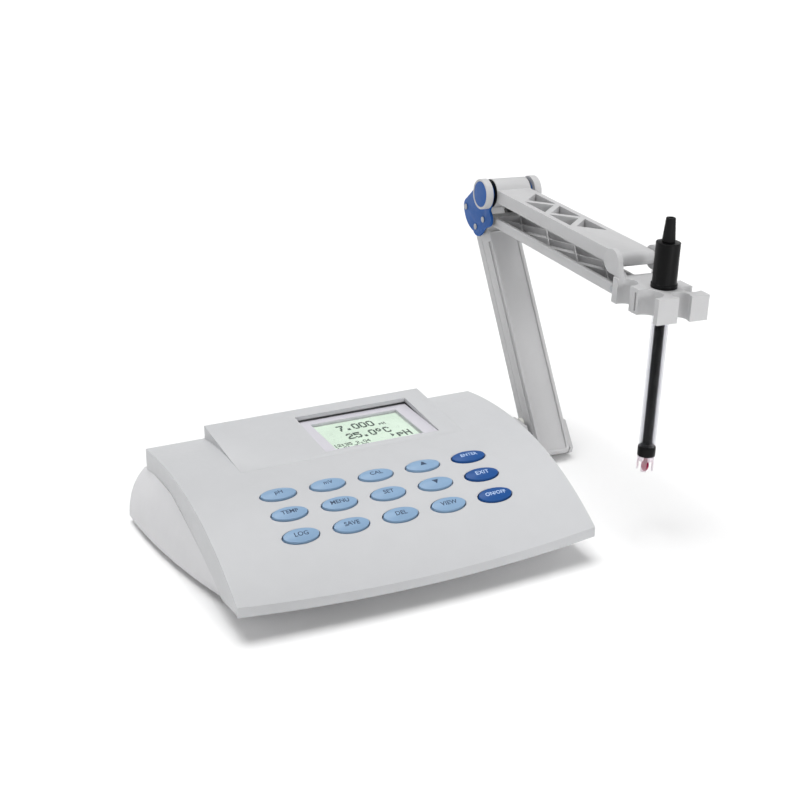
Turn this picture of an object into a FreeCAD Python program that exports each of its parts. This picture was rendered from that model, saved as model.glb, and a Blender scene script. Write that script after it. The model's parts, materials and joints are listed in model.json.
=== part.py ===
import FreeCAD, Part
import math
import os
import re
import Sketcher

# Bench pH meter with a swivelling parallelogram arm that carries a combination electrode.
# Meter frame: x = 0 at the housing's centre, y = 0 at the cover's front corners, z = 0 on the table.
# Arm frame: its origin is beside the housing, its x axis runs along every arm pivot, and it leans to +x.

DIMENSIONS = {
    # whole object
    "origin_x": 38.3, "origin_y": 142.1,
    "arm_x": 188, "arm_y": 160, "arm_z": 14, "arm_lean": 2.5,
    # top cover
    "cover_half": 130.5, "cover_depth": 191, "cover_bow": 1333.7, "cover_wall": 3,
    "nose_y": -8, "nose_z": 19.5, "nose_low": 13.1, "lip_y": 2, "lip_z": 18.9,
    "heel_y": 29.8, "heel_z": 15.7, "flank_y": 130, "flank_z": 46.3, "tail_low": 40.2,
    "ridge_y": 95.5, "ridge_z": 59.8, "tail_z": 56.4,
    "roof_front": 222, "roof_rear": 327, "flank_front": 500, "flank_rear": 204,
    "hood_half": 86, "hood_front": 113, "hood_low": 61.3, "hood_high": 66.3,
    # lower housing
    "shell_floor": 5, "shell_wall": 2.5, "shell_half": 145, "shell_back": 198, "shell_taper": 0.00099,
    "shell_corner": 15, "toe_y": 50, "seam_gap": 0.25,
    "port_half": 100, "port_low": 11, "port_high": 36, "panel_thick": 2, "panel_y": 193.4,
    "foot_r": 7, "post_r": 4.5, "post_hole": 1.6, "screw_head": 3, "screw_head_high": 2.2,
    # keys
    "key_long": 12.5, "key_short": 5.9, "key_gap": 1, "key_pitch": 36, "key_proud": 2.6,
    "key_flange": 1.2, "key_flange_lip": 1.9, "key_post": 2.5, "key_travel": 1.2,
    "row_front": 37.8, "row_middle": 57.7, "row_back": 78.1,
    "mat_thick": 1, "dome_r": 4.5, "dome_high": 1.6, "dome_gap": 1.5,
    "board_thick": 1.6, "key_board_drop": 12.5, "key_board_half": 96, "key_board_deep": 60, "peg_high": 9.3,
    # display
    "bezel_left": -20, "bezel_right": 70, "bezel_front": 120, "bezel_rear": 179, "bezel_gap": 0.2,
    "bezel_top": 61, "bezel_low": 57.4, "bezel_flange": 3, "bezel_flange_thick": 1.6,
    "window_left": -10.5, "window_right": 58.7, "window_front": 122.7, "window_rear": 171.5,
    "window_thick": 1.5, "window_sink": 0.9,
    "lcd_margin": 4, "lcd_thick": 2.2,
    # arm links
    "link_long": 185, "pivot_r": 2, "running_gap": 0.05,
    "main_half": 13.5, "main_front": 10.8, "main_rear": 4.2, "main_end": 7.5, "main_wall": 3,
    "rear_link_half": 3.5,
    "upper_long": 184.54, "upper_half": 14.8, "upper_high": 10, "barrel_r": 11.5, "barrel_half": 15.2,
    "tie_high": 7.5, "tie_wall": 2.5, "tie_lug_half": 10.9,
    "axle_r": 3, "plate_in": 16.3, "plate_thick": 2.3, "washer_r": 4.5, "rivet_r": 2.4,
    "cap_r": 12, "cap_in": 18.9, "cap_thick": 6, "cap_disc_r": 10.2, "cap_disc_thick": 0.6,
    "axle_washer_r": 11.1, "plate_ear_r": 8.6,
    "axle_y": 92.5, "axle_z": 180.7, "tie_y": 96.3, "tie_z": 158.6,
    "main_top_y": 107.9, "main_top_z": 149.9, "rear_top_y": 126.1, "rear_top_z": 162.1,
    # foot fork and bracket
    "swivel_y": 18.5, "stud_r": 4, "stud_head": 6, "fork_in": 16.3, "fork_thick": 3,
    "fork_low": -10.2, "fork_floor": 3, "tab_low": -13.4, "strip_thick": 3, "strip_half": 9.5,
    "strip_left": 95, "strip_bend": 157.5, "strip_low": 1.95,
    # electrode holder
    "ear_in": 15.1, "ear_thick": 4, "ear_r": 9, "holder_half": 20.5, "holder_rear": -98.5,
    "holder_front": -155, "holder_low": 149, "holder_top": 167, "clamp_r": 6.3, "clamp_mouth": 5.2,
    "notch_r": 8, "notch_large_r": 10, "slit_wide": 1.9,
    "front_clamp_x": 1, "front_clamp_y": -149, "side_clamp_x": 15.5, "side_clamp_y": -140,
    # electrode
    "probe_y": -130.2, "glass_r": 6, "glass_wall": 1.1, "glass_low": 48.9, "glass_top": 186,
    "core_r": 3.5, "collar_r": 6.4, "collar_low": 41.9, "guard_low": 31, "bulb_r": 3.6, "bulb_z": 33,
    "probe_cap_r": 8.5, "probe_flange_r": 9.25, "probe_cap_top": 198.9, "boot_top": 215.9,
    "boot_low_r": 4.65, "boot_top_r": 3.25,
}

KEY_COLUMNS = (-2, -1, 0, 1, 2)
KEY_ROWS = ("front", "middle", "back")

doc = FreeCAD.newDocument("ph_meter")
sheet = doc.addObject("Spreadsheet::Sheet", "Sizes")
for line, (alias, value) in enumerate(DIMENSIONS.items(), start=1):
    sheet.set("A%d" % line, alias)
    sheet.set("B%d" % line, str(value))
    sheet.setAlias("B%d" % line, alias)
doc.recompute()

X_AXIS = FreeCAD.Vector(1, 0, 0)
Y_AXIS = FreeCAD.Vector(0, 1, 0)
Z_AXIS = FreeCAD.Vector(0, 0, 1)
sub_parts = []


# ---------------------------------------------------------------- expressions

def full(text):
    """An expression in which every cell name is given its sheet."""
    return re.sub(r"\b[a-z]+(?:_[a-z]+)+\b", lambda found: "Sizes." + found.group(0), str(text))


def num(text):
    """The value that an expression has now, in millimetres."""
    if isinstance(text, (int, float)):
        return float(text)
    value = sheet.evalExpression(full(text))
    return float(getattr(value, "Value", value))


def bind(thing, prop, text):
    """Sets a property from a number, or binds it to the sheet where it names a cell."""
    if isinstance(text, (int, float)):
        text = repr(text)
    thing.setExpression(prop, full(text))


def move_to(thing, at, rotation=None):
    """Puts a piece at a corner or centre whose coordinates are bound to the sheet."""
    if rotation is not None:
        thing.Placement = FreeCAD.Placement(FreeCAD.Vector(), rotation)
    for letter, text in zip("xyz", at):
        if text != 0:
            bind(thing, "Placement.Base." + letter, text)
    return thing


# ---------------------------------------------------------------- primitives

def block(size, at=(0, 0, 0), rotation=None):
    thing = doc.addObject("Part::Box", "block")
    for prop, text in zip(("Length", "Width", "Height"), size):
        bind(thing, prop, text)
    return move_to(thing, at, rotation)


def rod(radius, length, at=(0, 0, 0), along="z"):
    """A cylinder that starts at a point and runs along one axis."""
    turns = {"z": None, "x": FreeCAD.Rotation(Y_AXIS, 90), "y": FreeCAD.Rotation(X_AXIS, -90)}
    thing = doc.addObject("Part::Cylinder", "rod")
    bind(thing, "Radius", radius)
    bind(thing, "Height", length)
    return move_to(thing, at, turns[along])


def cross_rod(radius, half, at=(0, 0, 0)):
    """A cylinder along x, as long on each side of x = 0."""
    return rod(radius, "2 * (%s)" % half, ("-(%s)" % half, at[1], at[2]), "x")


def cone(low_radius, top_radius, length, at=(0, 0, 0)):
    thing = doc.addObject("Part::Cone", "cone")
    bind(thing, "Radius1", low_radius)
    bind(thing, "Radius2", top_radius)
    bind(thing, "Height", length)
    return move_to(thing, at)


def ball(radius, at=(0, 0, 0)):
    thing = doc.addObject("Part::Sphere", "ball")
    bind(thing, "Radius", radius)
    return move_to(thing, at)


def oval(long_radius, short_radius, length, z=0):
    """An elliptical prism that stands on a height, long side along x."""
    ring = doc.addObject("Part::Ellipse", "oval_edge")
    bind(ring, "MajorRadius", long_radius)
    bind(ring, "MinorRadius", short_radius)
    if z != 0:
        bind(ring, "Placement.Base.z", z)
    prism = doc.addObject("Part::Extrusion", "oval")
    prism.Base = ring
    prism.Dir = (0, 0, 1)
    prism.Solid = True
    bind(prism, "LengthFwd", length)
    return prism


# ---------------------------------------------------------------- booleans

def combine(kind, pieces):
    thing = doc.addObject(kind, kind.split("::Multi")[-1].lower())
    thing.Shapes = list(pieces)
    return thing


def join(*pieces):
    return combine("Part::MultiFuse", pieces) if len(pieces) > 1 else pieces[0]


def overlap(*pieces):
    return combine("Part::MultiCommon", pieces)


def cut(base, *tools):
    thing = doc.addObject("Part::Cut", "cut")
    thing.Base = base
    thing.Tool = join(*tools)
    return thing


def at_place(placement, *pieces):
    """A group of pieces carried to a place of its own."""
    group = doc.addObject("Part::Compound", "group")
    group.Links = list(pieces)
    group.Placement = placement
    return group


# ---------------------------------------------------------------- sketches

def arc_between(start, end, radius):
    """The minor arc from start to end: its centre is to the left for a positive radius."""
    chord = end - start
    reach = math.sqrt(max(radius ** 2 - chord.Length ** 2 / 4, 0))
    left = FreeCAD.Vector(-chord.y, chord.x, 0).normalize()
    centre = (start + end) * 0.5 + left * math.copysign(reach, radius)
    first, last = (start, end) if radius > 0 else (end, start)
    angles = [math.atan2(point.y - centre.y, point.x - centre.x) for point in (first, last)]
    circle = Part.Circle(centre, Z_AXIS, abs(radius))
    return Part.ArcOfCircle(circle, angles[0], angles[1])


def outline(sketch, path):
    """A closed outline. Each corner is (u, v), or (u, v, radius) where the next edge is an arc."""
    corners = [FreeCAD.Vector(num(step[0]), num(step[1]), 0) for step in path]
    first_edge = sketch.GeometryCount
    ends = []
    for index, step in enumerate(path):
        start, end = corners[index], corners[(index + 1) % len(path)]
        if len(step) == 2:
            edge = sketch.addGeometry(Part.LineSegment(start, end), False)
            ends.append((edge, 1, 2))
            continue
        edge = sketch.addGeometry(arc_between(start, end, num(step[2])), False)
        ends.append((edge, 1, 2) if num(step[2]) > 0 else (edge, 2, 1))
        rule = sketch.addConstraint(Sketcher.Constraint("Radius", edge, abs(num(step[2]))))
        sketch.setExpression("Constraints[%d]" % rule, "abs(%s)" % full(step[2]))
    for index, (edge, head, tail) in enumerate(ends):
        follower, follower_head, _ = ends[(index + 1) % len(ends)]
        sketch.addConstraint(Sketcher.Constraint("Coincident", edge, tail, follower, follower_head))
        for kind, text in zip(("DistanceX", "DistanceY"), path[index]):
            rule = sketch.addConstraint(Sketcher.Constraint(kind, edge, head, num(text)))
            sketch.setExpression("Constraints[%d]" % rule, full(text))
    return first_edge


def hole(sketch, centre, radius):
    """A round hole whose centre and radius are bound to the sheet."""
    middle = FreeCAD.Vector(num(centre[0]), num(centre[1]), 0)
    edge = sketch.addGeometry(Part.Circle(middle, Z_AXIS, num(radius)), False)
    rules = (("DistanceX", 3, centre[0]), ("DistanceY", 3, centre[1]))
    for kind, point, text in rules:
        rule = sketch.addConstraint(Sketcher.Constraint(kind, edge, point, num(text)))
        sketch.setExpression("Constraints[%d]" % rule, full(text))
    rule = sketch.addConstraint(Sketcher.Constraint("Radius", edge, num(radius)))
    sketch.setExpression("Constraints[%d]" % rule, full(radius))


def sketch_on(body, plane):
    sketch = body.newObject("Sketcher::SketchObject", "sketch")
    support = [item for item in body.Origin.OriginFeatures if item.Role == plane + "_Plane"][0]
    sketch.AttachmentSupport = [(support, "")]
    sketch.MapMode = "FlatFace"
    return sketch


def pad(plane, path, length, holes=(), start=None):
    """A padded outline. It is centred on its plane, or begins at start along the plane's normal."""
    body = doc.addObject("PartDesign::Body", "body")
    sketch = sketch_on(body, plane)
    outline(sketch, path)
    for centre, radius in holes:
        hole(sketch, centre, radius)
    feature = body.newObject("PartDesign::Pad", "pad")
    feature.Profile = sketch
    bind(feature, "Length", length)
    feature.Midplane = start is None
    if start is not None:
        bind(body, "Placement.Base." + {"YZ": "x", "XY": "z"}[plane], start)
    return body


def turned(path):
    """An outline in the xz plane, revolved about the z axis."""
    body = doc.addObject("PartDesign::Body", "body")
    sketch = sketch_on(body, "XZ")
    outline(sketch, path)
    feature = body.newObject("PartDesign::Revolution", "revolution")
    feature.Profile = sketch
    feature.ReferenceAxis = (sketch, ["V_Axis"])
    feature.Angle = 360
    return body


# ---------------------------------------------------------------- frames

METER = FreeCAD.Placement(FreeCAD.Vector(-num("origin_x"), -num("origin_y"), 0), FreeCAD.Rotation())
ARM = METER * FreeCAD.Placement(
    FreeCAD.Vector(num("arm_x"), num("arm_y"), num("arm_z")),
    FreeCAD.Rotation(Y_AXIS, num("arm_lean")),
)


def pivot_frame(y, z, tilt):
    """The arm frame, moved to a pivot and tilted about the pivot axis."""
    at = FreeCAD.Vector(0, num(y), num(z))
    return ARM * FreeCAD.Placement(at, FreeCAD.Rotation(X_AXIS, tilt))


LINK_TILT = -34.5
UPPER_TILT = 1.24


def link_foot(top_y, top_z):
    """The lower pivot of a lower link, from its upper pivot."""
    angle = math.radians(LINK_TILT)
    reach = num("link_long")
    return num(top_y) + reach * math.sin(angle), num(top_z) - reach * math.cos(angle)


MAIN_FOOT = link_foot("main_top_y", "main_top_z")
REAR_FOOT = link_foot("rear_top_y", "rear_top_z")


def sub_part(name, frame, *pieces):
    """Names a sub-part and puts it in its frame."""
    single = len(pieces) == 1 and pieces[0].TypeId in (
        "Part::Cut", "Part::MultiFuse", "Part::MultiCommon", "Part::Feature")
    if single:
        thing = pieces[0]
        thing.Placement = frame
    else:
        thing = at_place(frame, *pieces)
    thing.Label = name
    sub_parts.append(thing)
    return thing


# ---------------------------------------------------------------- top cover

SKIRT_FRONT = [("nose_y", "nose_low"), ("lip_y", "lip_z"), ("heel_y", "heel_z", "-flank_front"),
               ("flank_y", "flank_z", "-flank_rear"), ("cover_depth", "tail_low")]


def roof_z(y, inset=0.0):
    """Height of the roof in front of its ridge, or of the surface that lies inset below it."""
    start = FreeCAD.Vector(num("ridge_y"), num("ridge_z"), 0)
    end = FreeCAD.Vector(num("nose_y"), num("nose_z"), 0)
    centre = arc_between(start, end, num("roof_front")).Center
    return centre.y + math.sqrt((num("roof_front") - inset) ** 2 - (y - centre.x) ** 2)


def roof_tilt(y):
    """Angle in degrees by which the roof rises towards the rear at y."""
    step = 0.01
    return math.degrees(math.atan2(roof_z(y + step) - roof_z(y - step), 2 * step))


def key_frame(row, column):
    """Frame of a key: its origin is on the roof and its z axis is the roof's normal."""
    y = num("row_" + row)
    at = FreeCAD.Vector(column * num("key_pitch"), y, roof_z(y))
    return FreeCAD.Placement(at, FreeCAD.Rotation(X_AXIS, roof_tilt(y)))


BOARD_FRAME = key_frame("middle", 0) * FreeCAD.Placement(
    FreeCAD.Vector(0, 0, -num("key_board_drop")), FreeCAD.Rotation())


def board_depth(row):
    """How far a key's axis runs from the roof to the top of the key board."""
    key = key_frame(row, 0)
    normal = BOARD_FRAME.Rotation.multVec(Z_AXIS)
    inward = key.Rotation.multVec(Z_AXIS) * -1
    return normal.dot(BOARD_FRAME.Base - key.Base) / normal.dot(inward)


def cover_outside():
    roof = [("cover_depth", "tail_z", "roof_rear"), ("ridge_y", "ridge_z", "roof_front"),
            ("nose_y", "nose_z")]
    side = pad("YZ", SKIRT_FRONT + roof, "2 * cover_half")
    plan = pad("XY", [("-cover_half", "cover_depth"), ("-cover_half", 0, "cover_bow"),
                      ("cover_half", 0), ("cover_half", "cover_depth")], 100, start=0)
    hood = pad("YZ", [("hood_front", 50), ("cover_depth", 50), ("cover_depth", "hood_high"),
                      ("hood_front", "hood_low")], "2 * hood_half")
    return join(overlap(side, plan), hood)


def cover_hollow():
    lip = 5
    rear = num("cover_depth - cover_wall")
    rear_centre = arc_between(
        FreeCAD.Vector(num("cover_depth"), num("tail_z"), 0),
        FreeCAD.Vector(num("ridge_y"), num("ridge_z"), 0), num("roof_rear")).Center
    rear_z = rear_centre.y + math.sqrt(num("roof_rear - cover_wall") ** 2 - (rear - rear_centre.x) ** 2)
    ridge_y = num("ridge_y")
    main = pad("YZ", [(lip, 0), (rear, 0), (rear, rear_z, "roof_rear - cover_wall"),
                      (ridge_y, roof_z(ridge_y, num("cover_wall")), "roof_front - cover_wall"),
                      (lip, roof_z(lip, num("cover_wall")))], "2 * (cover_half - cover_wall)")
    hood = pad("YZ", [("hood_front + 5", 45), (rear, 45), (rear, "hood_high - cover_wall - 0.2"),
                      ("hood_front + 5", "hood_low - cover_wall + 0.3")],
               "2 * (hood_half - cover_wall)")
    return [main, hood]


def key_openings():
    tools = []
    for row in KEY_ROWS:
        for column in KEY_COLUMNS:
            tool = oval("key_long + key_gap", "key_short + key_gap", 14, -7)
            tools.append(at_place(key_frame(row, column), tool))
    return tools


BOSS_SPOTS = [(-112, 62), (112, 62), (-112, 168), (112, 168)]


def top_cover():
    display = block(("bezel_right - bezel_left", "bezel_rear - bezel_front", 40),
                    ("bezel_left", "bezel_front", 45))
    shell = cut(cover_outside(), *cover_hollow())
    bosses = overlap(join(*[rod("post_r", 60, (x, y, 20)) for x, y in BOSS_SPOTS]), cover_outside())
    threads = [rod("post_hole", 10, (x, y, skirt_z(y) - 1)) for x, y in BOSS_SPOTS]
    pegs = [rod(2.5, "peg_high", (x, y, 0)) for x in (-91, 91) for y in (-26, 26)]
    pegs = at_place(BOARD_FRAME, *pegs)
    body = cut(join(shell, bosses, pegs), display, *threads, *key_openings())
    sub_part("top_cover", METER, body)


# ---------------------------------------------------------------- lower housing

def skirt_z(y):
    """Height of the cover's lower edge at the sides."""
    corners = [FreeCAD.Vector(num(step[0]), num(step[1]), 0) for step in SKIRT_FRONT[1:]]
    if y <= corners[1].x:
        share = (y - corners[0].x) / (corners[1].x - corners[0].x)
        return corners[0].y + share * (corners[1].y - corners[0].y)
    first = 1 if y <= corners[2].x else 2
    radius = num("flank_front") if first == 1 else num("flank_rear")
    centre = arc_between(corners[first], corners[first + 1], -radius).Center
    return centre.y + math.sqrt(radius ** 2 - (y - centre.x) ** 2)


def shell_section(y, inset):
    """Cross-section of the lower housing at y: a flat floor and bowed flanks."""
    half = num("shell_half") - num("shell_taper") * (num("shell_back") - y) ** 2 - inset
    top_half = num("cover_half") - 0.3 - inset
    low, high = num("shell_floor") + inset, skirt_z(y) + 1
    bow = 1.2 + 2.4 * min(max((y - 30) / 135, 0), 1)
    rise, run = high - low, half - top_half
    length = math.hypot(rise, run)
    middle = FreeCAD.Vector((half + top_half) / 2 + bow * rise / length, y,
                            (low + high) / 2 + bow * run / length)
    mirrored = FreeCAD.Vector(-middle.x, y, middle.z)
    corners = [FreeCAD.Vector(x, y, z) for x, z in ((-half, low), (half, low), (top_half, high),
                                                    (-top_half, high))]
    edges = [Part.LineSegment(corners[0], corners[1]), Part.Arc(corners[1], middle, corners[2]),
             Part.LineSegment(corners[2], corners[3]), Part.Arc(corners[3], mirrored, corners[0])]
    return Part.Wire([edge.toShape() for edge in edges])


def shell_form(inset, name):
    """The lower housing's free-form block, or the block that lies inset inside it."""
    stations = [6 + inset, 38, 70, 100, 130, 162, num("shell_back") - inset]
    thing = doc.addObject("Part::Feature", name)
    thing.Shape = Part.makeLoft([shell_section(y, inset) for y in stations], True, False)
    return thing


def under_wedge(lift):
    """The space in front of and below the lower housing's sloping toe."""
    return pad("YZ", [(-30, -20), ("toe_y", -20), ("toe_y", "shell_floor + %s" % lift),
                      ("lip_y", "lip_z - 1.4 + %s" % lift), (-30, "lip_z - 1.4 + %s" % lift)], 320)


def lower_housing():
    above = pad("YZ", [("lip_y", "lip_z - seam_gap"), ("heel_y", "heel_z - seam_gap", "-flank_front"),
                       ("flank_y", "flank_z - seam_gap", "-flank_rear"),
                       ("cover_depth", "tail_low - seam_gap"), (215, 37.5), (215, 100),
                       ("lip_y", 100)], 320)
    plan = pad("XY", [(-150, -20), (150, -20), (150, "shell_back - shell_corner", "shell_corner"),
                      ("150 - shell_corner", "shell_back"),
                      ("shell_corner - 150", "shell_back", "shell_corner"),
                      (-150, "shell_back - shell_corner")], 100, start=-10)
    outside = cut(overlap(shell_form(0, "shell_outside"), plan), under_wedge(0))
    ledge = block(("2 * cover_half - 8", 10, 12), ("4 - cover_half", 188, "port_high + 0.8"))
    hollow = cut(shell_form(num("shell_wall"), "shell_inside"), under_wedge(2.8), ledge)
    tub = cut(outside, hollow)
    port = block(("2 * port_half", 20, "port_high - port_low"), ("-port_half", 185, "port_low"))
    posts = overlap(join(*[rod("post_r", 60, (x, y, 0)) for x, y in BOSS_SPOTS]), outside)
    pillars = [rod(3, 8, (x, y, "shell_floor + 1")) for x, y in STANDOFFS]
    pillars += [rod(4, 6, (x, y, "shell_floor + 1")) for x, y in BRACKET_SCREWS]
    holes = [rod("post_hole + 0.1", 60, (x, y, 0)) for x, y in BOSS_SPOTS]
    sinks = [rod("screw_head + 0.3", screw_seat(y), (x, y, 0)) for x, y in BOSS_SPOTS]
    bracket_holes = [rod("post_hole + 0.1", 12, (x, y, 0)) for x, y in BRACKET_SCREWS]
    body = cut(join(tub, posts, *pillars), port, above, *holes, *sinks, *bracket_holes)
    sub_part("lower_housing", METER, body)


STANDOFFS = [(-84, 98), (84, 98), (-84, 182), (84, 182)]
BRACKET_SCREWS = [(105, 178.5), (128, 178.5)]


def feet():
    spots = [(-100, 74), (100, 74), (-118, 178), (100, 150)]
    rubber = [rod("foot_r", "shell_floor", (x, y, 0)) for x, y in spots]
    sub_part("feet", METER, *rubber)


def screw_seat(y):
    """Height of the shoulder that a housing screw's head pulls against."""
    return skirt_z(y) - 16


def screw(x, y, z, length):
    """A screw whose head's top is at z, and whose shank points up."""
    head = rod("screw_head", "screw_head_high", (x, y, "%s - screw_head_high" % repr(z)))
    return join(head, rod("post_hole - 0.1", length, (x, y, z)))


def housing_screws():
    made = [screw(x, y, screw_seat(y), 24) for x, y in BOSS_SPOTS]
    sub_part("housing_screws", METER, *made)


# ---------------------------------------------------------------- keys

def key(row, column):
    """A domed key cap with a stop flange under the cover and a post that meets its dome."""
    frame = key_frame(row, column)
    stack = num("mat_thick + dome_high + dome_gap")
    post_low = -(board_depth(row) - stack)
    flange_top = -num("cover_wall") - 0.3
    prism = oval("key_long", "key_short", "key_proud + %s" % repr(0.4 - flange_top), flange_top - 0.4)
    crown = doc.addObject("Part::Ellipsoid", "crown")
    bind(crown, "Radius1", "key_proud + 0.2")
    bind(crown, "Radius2", "key_long * 1.22")
    bind(crown, "Radius3", "key_short * 1.22")
    bind(crown, "Placement.Base.z", -0.2)
    top = overlap(prism, join(crown, oval("key_long", "key_short", 3.4, flange_top - 0.4)))
    flange = oval("key_long + key_flange_lip", "key_short + key_flange_lip", "key_flange",
                  flange_top - num("key_flange"))
    post = rod("key_post", flange_top - num("key_flange") - post_low, (0, 0, post_low))
    name = "key_%s_%d" % (row, column + 3)
    sub_part(name, METER * frame, join(top, flange, post))


def keypad_board():
    plate = block(("2 * key_board_half", "key_board_deep", "board_thick"),
                  ("-key_board_half", "-key_board_deep / 2", "-board_thick"))
    sub_part("keypad_board", METER * BOARD_FRAME, plate)


def keypad_mat():
    """A silicone mat with one dome under each key."""
    sheet_body = block(("2 * key_board_half - 16", "key_board_deep - 4", "mat_thick"),
                       ("8 - key_board_half", "2 - key_board_deep / 2", 0))
    domes = []
    for row in KEY_ROWS:
        for column in KEY_COLUMNS:
            local = BOARD_FRAME.inverse() * key_frame(row, column)
            reach = board_depth(row)
            foot = local.multVec(FreeCAD.Vector(0, 0, -reach))
            domes.append(cone("dome_r", "dome_r - 1.2", "dome_high + 0.2",
                              (foot.x, foot.y, "mat_thick - 0.2")))
    sub_part("keypad_mat", METER * BOARD_FRAME, join(sheet_body, *domes))


# ---------------------------------------------------------------- display

def bezel():
    opening = block(("window_right - window_left", "window_rear - window_front", 20),
                    ("window_left", "window_front", "bezel_low - 8"))
    upper = block(("bezel_right - bezel_left - 2 * bezel_gap", "bezel_rear - bezel_front - 2 * bezel_gap",
                   "bezel_top - bezel_low"),
                  ("bezel_left + bezel_gap", "bezel_front + bezel_gap", "bezel_low"))
    flange = block(("bezel_right - bezel_left + 2 * bezel_flange",
                    "bezel_rear - bezel_front + bezel_flange", "bezel_flange_thick"),
                   ("bezel_left - bezel_flange", "bezel_front + bezel_gap",
                    "bezel_low - bezel_flange_thick"))
    pocket = block(("window_right - window_left + 2 * lcd_margin",
                    "window_rear - window_front + 1.6 * lcd_margin", 10),
                   ("window_left - lcd_margin", "window_front - 0.8 * lcd_margin",
                    "bezel_top - window_sink - window_thick - 10.05"))
    sub_part("display_bezel", METER, cut(join(upper, flange), opening, pocket))


def window():
    pane = block(("window_right - window_left - 2 * bezel_gap", "window_rear - window_front - 2 * bezel_gap",
                  "window_thick"),
                 ("window_left + bezel_gap", "window_front + bezel_gap",
                  "bezel_top - window_sink - window_thick"))
    sub_part("display_window", METER, pane)


def lcd_panel():
    glass = block(("window_right - window_left + 2 * lcd_margin - 1",
                   "window_rear - window_front + 1.6 * lcd_margin - 1", "lcd_thick"),
                  ("window_left - lcd_margin + 0.5", "window_front - 0.8 * lcd_margin + 0.5",
                   "bezel_top - window_sink - window_thick - lcd_thick - 0.1"))
    sub_part("lcd_panel", METER, glass)


def lcd_board():
    plate = block(("window_right - window_left + 2 * lcd_margin + 3",
                   "window_rear - window_front + 1.6 * lcd_margin + 3", "board_thick"),
                  ("window_left - lcd_margin - 1.5", "window_front - 0.8 * lcd_margin - 1.5",
                   "bezel_low - bezel_flange_thick - 0.1 - board_thick"))
    pins = block((44, 5, 0.5), (2, "window_front - 2", "bezel_low - bezel_flange_thick - 0.1"))
    sub_part("lcd_board", METER, join(plate, pins))


# ---------------------------------------------------------------- rear panel and sockets

def main_board():
    plate = block((180, 94, "board_thick"), (-90, 94, "shell_floor + 9"))
    chips = [block((22, 14, 3), (x, y, "shell_floor + 9 + board_thick")) for x, y in ((-60, 130), (-10, 120))]
    choke = rod(7, 10, (50, 130, "shell_floor + 9 + board_thick"))
    sub_part("main_board", METER, join(plate, choke, *chips))


def rear_panel():
    plate = block(("2 * port_half + 6", "panel_thick", 28.6), ("-port_half - 3", "panel_y", 8))
    holes = [rod(radius, 10, (x, "panel_y - 4", z), "y") for _, x, z, radius in ROUND_PORTS]
    usb = block((12.4, 10, 11.4), (-6.2, "panel_y - 4", 17.3))
    sub_part("rear_panel", METER, cut(plate, usb, *holes))


# name, x, z and hole radius of each round socket
ROUND_PORTS = [("electrode_socket", 78, 23, 6.35), ("reference_socket", 54, 23, 4.1),
               ("temperature_socket", 32, 23, 4.1), ("ground_terminal", -52, 23, 3.1),
               ("power_socket", -78, 23, 5.1)]


def electrode_socket():
    """A bayonet socket with two locking lugs."""
    x, z = ROUND_PORTS[0][1:3]
    barrel = rod(4.8, 15, (x, "panel_y - 4", z), "y")
    collar = rod(6.3, "panel_thick + 3", (x, "panel_y - 3", z), "y")
    nut = rod(8.2, 2, (x, "panel_y + panel_thick + 0.05", z), "y")
    lugs = block((13, 2, 2), (x - 6.5, "panel_y + 7.4", z - 1))
    core = rod(3.6, 12, (x, "panel_y + 3", z), "y")
    pin = rod(1.1, 9, (x, "panel_y + 2", z), "y")
    body = join(cut(join(barrel, nut, lugs, collar), core), pin)
    sub_part("electrode_socket", METER, body)


def banana_socket(index):
    name, x, z, radius = ROUND_PORTS[index]
    barrel = rod(radius - 0.1, 12, (x, "panel_y - 8", z), "y")
    rim = rod(radius + 1.9, 2.2, (x, "panel_y + panel_thick + 0.05", z), "y")
    sub_part(name, METER, cut(join(barrel, rim), rod(2.05, 13, (x, "panel_y - 7", z), "y")))


def ground_terminal():
    x, z, radius = ROUND_PORTS[3][1:]
    stud = rod(radius - 0.1, 14, (x, "panel_y - 4", z), "y")
    knob = rod(5, 5, (x, "panel_y + panel_thick + 0.6", z), "y")
    sub_part("ground_terminal", METER, join(stud, knob))


def power_socket():
    x, z, radius = ROUND_PORTS[4][1:]
    barrel = rod(radius - 0.1, 12, (x, "panel_y - 8", z), "y")
    rim = rod(radius + 1.5, 1.6, (x, "panel_y + panel_thick + 0.05", z), "y")
    well = rod(2.8, 11, (x, "panel_y - 6.5", z), "y")
    pin = rod(1, 9, (x, "panel_y - 7", z), "y")
    sub_part("power_socket", METER, join(cut(join(barrel, rim), well), pin))


def serial_socket():
    shell = block((12, 12, 11), (-6, "panel_y - 9", 17.5))
    well = block((8.6, 9, 7.8), (-4.3, "panel_y - 5", 19.1))
    tongue = block((5.6, 8, 3.2), (-2.8, "panel_y - 6", 21.4))
    sub_part("serial_socket", METER, join(cut(shell, well), tongue))


# ---------------------------------------------------------------- bracket and swivel fork

def arm_point(x, z):
    """World x and z, in the meter frame, of a point of the arm frame's xz plane."""
    point = METER.inverse().multVec(ARM.multVec(FreeCAD.Vector(x, 0, z)))
    return point.x, point.z


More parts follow.
